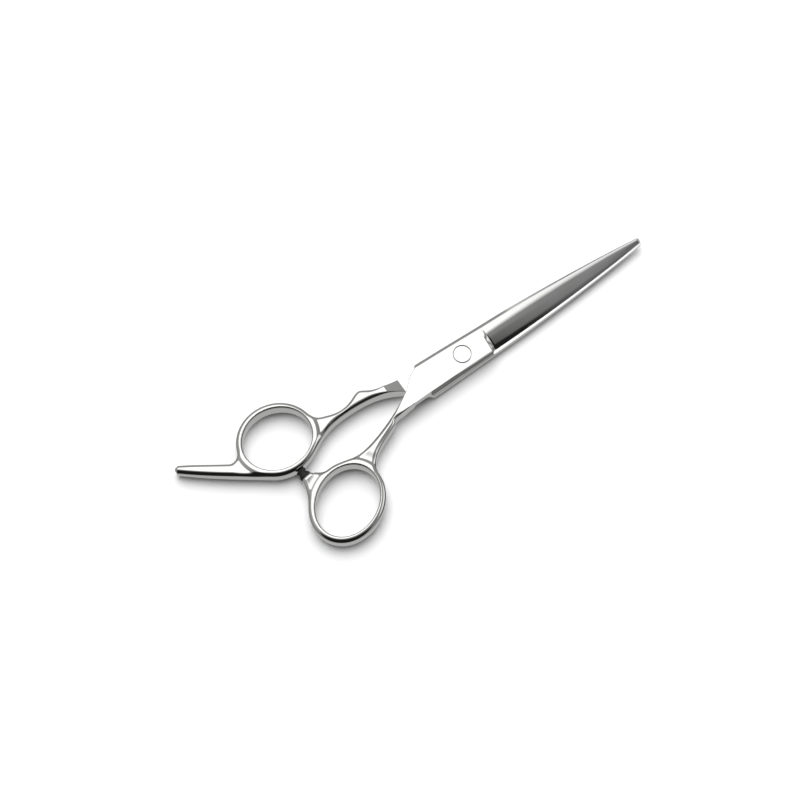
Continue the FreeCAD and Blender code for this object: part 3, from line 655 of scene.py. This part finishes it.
class Handle:
    """A cast and polished handle: walls on its plan outline, rounded over to its top and bottom."""

    GRID = 0.22
    # how the grid's points settle on the surface
    SETTLING_STEPS, STEP_SHARE, LONGEST_STEP = 6, 0.9, 0.3
    # the plan outline is taken from the CAD node at this height
    WALL_HEIGHT = 2.2
    # how far the roundings reach across the outer walls, across the hole's wall, down and up
    OUTER, INNER, DOWN, UP = 1.45, 0.5, 1.2, 0.85
    # the edges are only broken by the seam, to this distance behind the pivot, and round from the next
    CRISP = 0.16
    CRISP_TO, FULL_FROM = 24.0, 34.0
    # a shallow valley runs beside the ring where a web joins it: its bottom's distance and depth
    VALLEY_NEAR, VALLEY_FROM, VALLEY_TO, VALLEY_FAR = 1.3, 2.9, 3.0, 6.4
    VALLEY = 0.38

    def __init__(self, node, top_line, bottom_line, breaks):
        loops = plan_loops(node, self.WALL_HEIGHT)
        outer = carried_on(loops[0])
        ends = [p for p in outer if p[0] > SEAM + 1]
        self.outer = Outline(outer, True, [*ends, *breaks])
        self.hole = Outline(loops[1], False)
        self.top_line = top_line
        self.bottom_line = bottom_line

    def valley(self, depth_hole):
        rise = smoothstep(depth_hole, self.VALLEY_NEAR, self.VALLEY_FROM)
        return self.VALLEY * rise * (1 - smoothstep(depth_hole, self.VALLEY_TO, self.VALLEY_FAR))

    def faces(self, x, z, outer, hole):
        """Each face's depth, inward slope and rounding: those of the outer wall, then the others."""
        full = smoothstep(-x, self.CRISP_TO, self.FULL_FROM)
        across, down, up = [self.CRISP + (whole - self.CRISP) * full
                            for whole in (self.OUTER, self.DOWN, self.UP)]
        nothing = np.zeros_like(x)
        sides = [(depth, (way[:, 0], way[:, 1], nothing), across) for depth, way in outer]
        others = [(depth, (way[:, 0], way[:, 1], nothing), self.INNER + nothing) for depth, way in hole]
        depth_hole, way_hole = hole[0]
        top, top_slope = side_line(self.top_line, x)
        small = 0.01
        dip = (self.valley(depth_hole + small) - self.valley(depth_hole - small)) / (2 * small)
        over = (top_slope - dip * way_hole[:, 0], -dip * way_hole[:, 1], nothing - 1)
        others.append((top - self.valley(depth_hole) - z, over, down))
        bottom, bottom_slope = side_line(self.bottom_line, x)
        others.append((z - bottom, (-bottom_slope, nothing, nothing + 1), up))
        return sides, others

    @staticmethod
    def combined(sides, others):
        """Distance inside the rounded solid and the unit direction inwards."""
        gaps = [np.maximum(1 - depth / radius, 0.0) for depth, _, radius in sides]
        # stretches of one wall share their rounding, so that it counts once where they meet
        reach = np.sqrt(sum(gap**4 for gap in gaps))
        pulls = [gap**3 / np.maximum(reach, 1e-9) for gap in gaps]
        for depth, _, radius in others:
            pulls.append(np.maximum(1 - depth / radius, 0.0))
            reach = reach + pulls[-1]**2
        slope = [0, 0, 0]
        nearest = np.inf
        plain = [0, 0, 0]
        for (depth, way, radius), pull in zip(sides + others, pulls):
            slope = [total + pull / radius * part for total, part in zip(slope, way)]
            closer = depth < nearest
            plain = [np.where(closer, part, old) for part, old in zip(way, plain)]
            nearest = np.where(closer, depth, nearest)
        reach = np.sqrt(reach)
        steep = np.sqrt(sum(part**2 for part in slope))
        deep = (reach < 0.05) | (steep < 1e-6)
        distance = np.where(deep, nearest, (1 - reach) * reach / np.maximum(steep, 1e-6))
        distance = np.minimum(distance, nearest)
        way = np.stack([np.where(deep, a, b / np.maximum(steep, 1e-6)) for a, b in zip(plain, slope)], -1)
        return distance, way / np.maximum(np.linalg.norm(way, axis=-1, keepdims=True), 1e-9)

    def evaluate(self, points):
        x, _, z = points.T
        plan = points[:, :2]
        return self.combined(*self.faces(x, z, self.outer.measure(plan), self.hole.measure(plan)))

    def sampled(self):
        """The distance on a grid, with the grid's lowest corner."""
        low = self.outer.points.min(0) - 2.5 * self.GRID
        high = self.outer.points.max(0) + 2.5 * self.GRID
        x = np.arange(low[0], high[0], self.GRID)
        y = np.arange(low[1], high[1], self.GRID)
        z = np.arange(-2.5 * self.GRID, 2 * MIDDLE + 3 * self.GRID, self.GRID)
        plan = np.stack(np.meshgrid(x, y, indexing="ij"), -1).reshape(-1, 2)
        outer, hole = self.outer.measure(plan), self.hole.measure(plan)
        levels = []
        for level in z:
            faces = self.faces(plan[:, 0], np.full(len(plan), level), outer, hole)
            levels.append(self.combined(*faces)[0])
        return np.stack(levels, -1).reshape(len(x), len(y), len(z)), np.array([x[0], y[0], z[0]])

    def mesh(self, name):
        field, corner = self.sampled()
        points, quads = surface_net(field)
        points = points * self.GRID + corner
        for _ in range(self.SETTLING_STEPS):
            distance, way = self.evaluate(points)
            step = np.clip(distance, -self.LONGEST_STEP, self.LONGEST_STEP)
            points = points - self.STEP_SHARE * way * step[:, None]
        form = bmesh.new()
        form.from_mesh(mesh_from(name, points, quads))
        cut = bmesh.ops.bisect_plane(
            form, geom=form.verts[:] + form.edges[:] + form.faces[:], dist=1e-4,
            plane_co=(SEAM, 0, 0), plane_no=(1, 0, 0), clear_outer=True)
        rim = [e for e in cut["geom_cut"] if isinstance(e, bmesh.types.BMEdge)]
        bmesh.ops.holes_fill(form, edges=rim, sides=0)
        bmesh.ops.triangulate(form, faces=[f for f in form.faces if len(f.verts) > 4])
        for face in form.faces:
            face.smooth = True
        mesh = bpy.data.meshes.new(name)
        form.to_mesh(mesh)
        form.free()
        places = np.array([v.co for v in mesh.vertices])
        outward = -self.evaluate(places)[1]
        ends = np.abs(places[:, 0] - SEAM) < 1e-3
        normals = []
        for face in mesh.polygons:
            cap = all(ends[i] for i in face.vertices)
            normals += [(1, 0, 0) if cap else tuple(outward[i]) for i in face.vertices]
        mesh.normals_split_custom_set(normals)
        return mesh


# side profiles from the seam back: places along the handle, heights over the middle plane
FINGER_TOP = [(SEAM, 1.9), (-28, 2.98), (-40, 2.9), (-62, 2.8), (-80, 2.5), (-102, 1.6)]
FINGER_BOTTOM = [(SEAM, -3.1), (-28, -3.13), (-45, -3.2), (-62, -3.2), (-78, -3.18), (-102, -2.5)]
THUMB_TOP = [(SEAM, 3.1), (-28, 3.03), (-40, 2.9), (-60, 2.8), (-80, 2.75)]
THUMB_BOTTOM = [(SEAM, -1.9), (-28, -3.05), (-45, -3.2), (-60, -3.2), (-80, -3.2)]
# where one side of a handle's outline gives way to the other
FINGER_BREAKS = [np.array((-101.2, 21.9))]
THUMB_BREAKS = [np.array((-63.9, -4.9)), np.array((-67.6, -5.4))]


def finger_handle_mesh():
    return Handle("finger_handle", FINGER_TOP, FINGER_BOTTOM, FINGER_BREAKS).mesh("finger")


def thumb_handle_mesh():
    return Handle("thumb_handle", THUMB_TOP, THUMB_BOTTOM, THUMB_BREAKS).mesh("thumb")


# ---------------------------------------------------------------- bumper

BUMPER_SEAT = Vector((-65.75, -5.15, 3.0))
BUMPER_TURN = math.radians(8)
BUMPER_WAY = Vector((-math.sin(BUMPER_TURN), math.cos(BUMPER_TURN), 0))


def bumper_mesh():
    """A waisted rubber stud with a rolled foot and a soft domed head."""
    outside = [
        (1.86, 0.0, 0.1), (2.02, 0.22, 0.12), (1.98, 0.8, 0.25), (1.42, 1.62, 0.4),
        (1.34, 1.95, 0.3), (1.72, 2.5, 0.2), (1.7, 2.84, 0.18), (1.2, 3.07, 0.3),
    ]
    inside = [(0.0, 3.1, 0), (0.0, 1.62, 0), (0.61, 1.62, 0), (0.61, 0.0, 0)]
    mesh = turned(rounded_path(outside + inside, 6), 96)
    upright = BUMPER_WAY.to_track_quat("Z", "Y").to_matrix().to_4x4()
    mesh.transform(Matrix.Translation(BUMPER_SEAT) @ upright)
    return shaded(mesh)


# ---------------------------------------------------------------- blades

ROOT = 10.0
TIP_THICKNESS = 0.85
# under 1, so that the blade thins quickly behind the cove
TAPER_POWER = 0.9
BLADE = {
    "spine": (5.3, 1.25, 0.64),
    "edge": (4.25, 0.45, 0.73),
    "land": (1.9, 0.55, 1.3),
}


def along_blade(name, x):
    """Offset of one of the blade's bowed lines at x."""
    root, tip, bow = BLADE[name]
    share = min(max((x - ROOT) / (TIP - ROOT), 0.0), 1.0)
    return root + (tip - root) * share + 4 * bow * share * (1 - share)


def through(points, x):
    """A parabola through three points."""
    (a, p), (b, q), (c, r) = points
    return (p * (x - b) * (x - c) / ((a - b) * (a - c)) + q * (x - a) * (x - c) / ((b - a) * (b - c))
            + r * (x - a) * (x - b) / ((c - a) * (c - b)))


CROTCH = [(SEAM, -0.12), (-20.5, 1.9), (-18.5, 3.6), (-16.2, 4.6)]
PLATE_CORNER = (-15.2, 6.05)
PLATE_SPINE = [PLATE_CORNER, (-2.6, 5.72), (ROOT, 5.3)]
PLATE_EDGE = [(SEAM, -5.2), (-6.0, -4.87), (ROOT, -4.75)]


def crotch_line(x):
    """The curve where the plate leaves its handle."""
    knots = np.array(CROTCH)
    slopes = np.gradient(knots[:, 1], knots[:, 0])
    slopes[0], slopes[-1] = 0.75, 0.15
    i = int(np.clip(np.searchsorted(knots[:, 0], x) - 1, 0, len(knots) - 2))
    gap = knots[i + 1, 0] - knots[i, 0]
    t = (x - knots[i, 0]) / gap
    return float((2 * t**3 - 3 * t**2 + 1) * knots[i, 1] + (t**3 - 2 * t**2 + t) * slopes[i] * gap
                 + (3 * t**2 - 2 * t**3) * knots[i + 1, 1] + (t**3 - t**2) * slopes[i + 1] * gap)


def spine_at(x):
    if x >= ROOT:
        return along_blade("spine", x)
    if x >= PLATE_CORNER[0]:
        return through(PLATE_SPINE, x)
    if x >= CROTCH[-1][0]:
        share = (x - CROTCH[-1][0]) / (PLATE_CORNER[0] - CROTCH[-1][0])
        return CROTCH[-1][1] + (PLATE_CORNER[1] - CROTCH[-1][1]) * share
    return crotch_line(x)


def edge_at(x):
    """The lower side: the plate's edge, then the cutting edge past the cove."""
    plate = through(PLATE_EDGE, min(x, ROOT))
    cutting = -along_blade("edge", x)
    share = float(smoothstep(x, ROOT - 0.35, ROOT + 0.35))
    return plate + (cutting - plate) * share


def thickness_at(x):
    share = min(max((x - ROOT) / (TIP - ROOT), 0.0), 1.0)
    return PLATE - (PLATE - TIP_THICKNESS) * share ** TAPER_POWER


# the bevel along the spine, and the broken edge behind it
SPINE_BEVEL, SPINE_DROP = 1.2, 1.0
BROKEN = 0.16
# thickness at the cutting edge
LIP = 0.1
# rounding of the plate's long edge, opposite its spine
EDGE_ROUND = 0.42
# rounding of the plate's spine at the inner face, which shows beside the other half
INNER_ROUND = 0.5
GROUND_STEPS = 30
# how the ground face leans from the land (0) to the cutting edge (1), as shares of its mean slope
_across = np.linspace(0, 1, 241)
_lean = 0.12 + 0.9 * smoothstep(_across, 0.0, 0.5) + 0.3 * _across + 0.75 * smoothstep(_across, 0.76, 0.9)
_fallen = np.concatenate([[0], np.cumsum((_lean[1:] + _lean[:-1]) / 2)])
_fallen /= _fallen[-1]


def ground_height(x, share):
    """Height of the ground face; share runs from the land to the cutting edge."""
    top = thickness_at(x)
    return top - (top - LIP) * float(np.interp(share, _across, _fallen))


# the cove starts further back at the edge than at the land; a groove ends it
COVE_START, COVE_SWEEP, COVE_END = 9.5, 0.65, 10.9
GROOVE_AT, GROOVE_WIDTH = 10.72, 0.25
# the stretch whose sections carry it, close together
COVE_FROM, COVE_TO = 8.8, 11.4


def cove_height(x, share, ground, top):
    """The grinding wheel's runout: the plate's face dips through a cove to the ground face."""
    start = COVE_START - COVE_SWEEP * share
    fall = 1.0
    if x > start:
        fall = max(0.0, 1 - (x - start) / (COVE_END - start)) ** 2
    groove = (0.1 + 0.16 * share) * math.exp(-((x - GROOVE_AT) / GROOVE_WIDTH) ** 2)
    return ground + (top - ground) * fall - groove


def hollow_height(x, share):
    """The inner face's shallow hollow; it leaves a riding strip along both edges."""
    length = float(smoothstep(x, 12, 20) * (1 - smoothstep(x, 62, 73)))
    return 0.07 * length * max(0.0, math.sin(math.pi * min(max((share - 0.08) / 0.84, 0.0), 1.0))) ** 0.8


def section(x):
    """One section of plate or blade at x: a closed path of (y, z), inner face at 0, outer face up."""
    spine, edge, top = spine_at(x), edge_at(x), thickness_at(x)
    station = min(max((x - ROOT) / (TIP - ROOT), 0.0), 1.0)
    bevel, drop = BROKEN, BROKEN
    if x >= PLATE_CORNER[0]:
        bevel = SPINE_BEVEL * (1 - 0.85 * station)
        drop = SPINE_DROP * (1 - 0.72 * float(smoothstep(x, 6, 24))) * (1 - 0.6 * station)
    elif x > CROTCH[-1][0]:
        reach = spine - (through(PLATE_SPINE, x) - SPINE_BEVEL)
        if reach > 0:
            bevel, drop = max(reach, BROKEN), max(reach / SPINE_BEVEL, BROKEN)
    land = min(along_blade("land", x), spine - bevel - 0.25)
    if x < CROTCH[-1][0]:
        land = spine - bevel - 0.3 * (spine - bevel - edge)
    in_cove = float(smoothstep(x, ROOT - 1.2, ROOT))
    corners = [
        (spine, 0, 0.05 + (1 - in_cove) * INNER_ROUND),
        (spine, top - drop, 0.05),
        (spine - bevel, top, 0.06),
    ]
    for k in (0.33, 0.67):
        corners.append((spine - bevel + (land - spine + bevel) * k, top, 0))
    for k in range(GROUND_STEPS):
        share = k / GROUND_STEPS
        y = land + (edge - land) * share
        z = top
        if x > COVE_FROM:
            z = cove_height(x, share, ground_height(max(x, ROOT), share), top)
        corners.append((y, z, 0))
    lip = top if x <= COVE_FROM else cove_height(x, 1.0, LIP, top)
    corners.append((edge, max(lip, LIP), 0.012 + (1 - in_cove) * EDGE_ROUND))
    corners.append((edge, 0, 0.012 + (1 - in_cove) * 0.04))
    for k in range(1, 12):
        share = k / 12
        corners.append((edge + (spine - edge) * share, hollow_height(x, share), 0))
    return rounded_path(corners)


TIP_ROUND = 0.75


def blade_stations():
    """Places of the sections: close together where the shape turns."""
    runs = [
        (SEAM, -16.2, 18), (-16.2, PLATE_CORNER[0], 14), (PLATE_CORNER[0], COVE_FROM, 26),
        (COVE_FROM, COVE_TO, 120), (COVE_TO, TIP - TIP_ROUND, 76),
    ]
    places = [start + (end - start) * k / count for start, end, count in runs for k in range(count)]
    turns = 12
    places += [TIP - TIP_ROUND * (1 - math.sin(math.pi / 2 * k / turns)) for k in range(turns)]
    return places + [TIP - 0.002]


def blade_blank():
    """Plate and blade of one half, inner face at z = 0, outer face up, spine towards +Y."""
    sections = []
    for x in blade_stations():
        path = section(x)
        past = max(0.0, (x - (TIP - TIP_ROUND)) / TIP_ROUND)
        narrow = math.sqrt(max(1 - past**2, 0.003))
        centre = (spine_at(x) + edge_at(x)) / 2
        flat = 0.45 + 0.55 * narrow
        sections.append([(x, centre + (y - centre) * narrow, z * flat) for y, z in path])
    count = len(sections[0])
    points = [p for path in sections for p in path]
    faces = []
    for i in range(len(sections) - 1):
        for k in range(count):
            here, then = i * count + k, i * count + (k + 1) % count
            faces.append((here, then, then + count, here + count))
    last = (len(sections) - 1) * count
    faces.append(tuple(range(count))[::-1])
    faces.append(tuple(range(last, last + count)))
    mesh = mesh_from("blank", points, faces)
    form = bmesh.new()
    form.from_mesh(mesh)
    bmesh.ops.recalc_face_normals(form, faces=form.faces)
    form.to_mesh(mesh)
    form.free()
    return mesh


OVER = 1.0
HEAD_RECESS = (3.19, 1.18)
SCREW_RECESS = (3.6, 1.45)


def recess(radius, depth, rim=0.05):
    """The tool for a round recess in the outer face, with a broken rim."""
    top = PLATE
    return turned([(0, top - depth), (radius, top - depth), (radius, top - rim), (radius + rim, top),
                   (radius + rim, top + OVER), (0, top + OVER)], 160)


def thumb_blade_mesh():
    mesh = joined(blade_blank(), recess(*HEAD_RECESS), "DIFFERENCE")
    mesh = joined(mesh, prism(1.82, -OVER, PLATE + OVER), "DIFFERENCE")
    mesh.transform(Matrix.Translation((0, 0, THUMB_INNER)))
    return shaded(mesh)


def finger_blade_mesh():
    mesh = joined(blade_blank(), recess(*SCREW_RECESS), "DIFFERENCE")
    bore = turned([(0, -OVER), (2.25, -OVER), (2.25, PLATE + OVER), (0, PLATE + OVER)], 128)
    mesh = joined(mesh, bore, "DIFFERENCE")
    flange = turned([(0, -OVER), (3.25, -OVER), (3.25, 0.25), (0, 0.25)], 128)
    mesh = joined(mesh, flange, "DIFFERENCE")
    mesh.transform(Matrix.Translation((0, 0, FINGER_INNER)) @ Matrix.Rotation(math.pi, 4, "X"))
    return shaded(mesh)


# ---------------------------------------------------------------- pivot

def stud_mesh():
    """Disc head with a broken rim and a faintly dished face, square neck, hollow barrel."""
    low, high = [Vector(c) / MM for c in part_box("pivot_stud")]
    top, end = high.z, low.z
    floor = top - 1.15
    profile = [
        (0, top - 0.05, 0), (1.2, top - 0.045, 0), (2.2, top - 0.015, 0), (2.86, top, 0.08),
        (3.05, top - 0.16, 0.06), (3.05, floor, 0.05), (1.75, floor, 0), (1.75, end, 0.05),
        (1.03, end, 0.03), (1.03, end + 3.65, 0), (0, end + 3.65, 0),
    ]
    mesh = turned(rounded_path(profile), 160)
    neck = prism(1.8, THUMB_INNER + 0.01, floor + 0.2)
    bottom, core = THUMB_INNER - OVER, 1.4
    inside = turned([(0, bottom), (core, bottom), (core, floor + OVER), (0, floor + OVER)], 96)
    mesh = joined(mesh, joined(neck, inside, "DIFFERENCE"), "UNION")
    return shaded(mesh)


def screw_mesh():
    """Flat head with two key notches, threaded shank."""
    end = (Vector(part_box("tension_screw")[1]) / MM).z
    head = 0.9
    pitch = 0.36
    profile = [(0, 0, 0), (3.22, 0, 0.06), (3.4, 0.18, 0.06), (3.4, head, 0.05), (0.98, head, 0)]
    turns = int((end - head - 0.5) / pitch)
    for k in range(turns):
        z = head + 0.2 + k * pitch
        profile += [(0.99, z, 0), (0.82, z + pitch / 2, 0)]
    profile += [(0.98, end - 0.2, 0), (0.78, end, 0.05), (0, end, 0)]
    mesh = turned(rounded_path(profile), 160)
    for side in (1, -1):
        notch = prism(0.45, -OVER, 0.45, 0.1)
        notch.transform(Matrix.Translation((side * 3.3, 0, 0)) @ Matrix.Diagonal((2.25, 1, 1, 1)))
        mesh = joined(mesh, notch, "DIFFERENCE")
    return shaded(mesh)


# ---------------------------------------------------------------- the scene

make_camera()
make_world()
make_lights()
make_floor()
bpy.context.scene.view_settings.view_transform = "Standard"

HANDLE_STEEL = polished_steel("polished handle steel", (0.64, 0.64, 0.625), 0.035, (12, -38, 77))
BLADE_STEEL = steel_of_blades("blade steel")
PIVOT_STEEL = turned_steel("turned steel", (0.66, 0.66, 0.65), 9000)
SPRING = spring_steel("spring steel")
POLYMER = bush_polymer("bush polymer")
RUBBER = black_rubber("black rubber")

# node, its body, its slot, the material and what builds the mesh
PIECES = [
    ("thumb_blade", "thumb_half", "blade_steel", BLADE_STEEL, thumb_blade_mesh),
    ("finger_blade", "finger_half", "blade_steel", BLADE_STEEL, finger_blade_mesh),
    ("thumb_handle", "thumb_half", "handle_steel", HANDLE_STEEL, thumb_handle_mesh),
    ("finger_handle", "finger_half", "handle_steel", HANDLE_STEEL, finger_handle_mesh),
    ("pivot_stud", "thumb_half", "pivot_steel", PIVOT_STEEL, stud_mesh),
    ("tension_screw", "tension_screw", "pivot_steel", PIVOT_STEEL, screw_mesh),
    ("bumper", "thumb_half", "bumper_rubber", RUBBER, bumper_mesh),
]
for node, body, slot, material, build in PIECES:
    add_piece(node + ".skin", build(), material, node, body)

CARRIED_OVER = {
    "pivot_bush": POLYMER,
    "thrust_washer": POLYMER,
    "disc_spring": SPRING,
    "click_plate": SPRING,
    "bumper_pin": PIVOT_STEEL,
}
for name, material in CARRIED_OVER.items():
    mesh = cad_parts[name].data
    for i in range(len(mesh.materials)):
        mesh.materials[i] = material
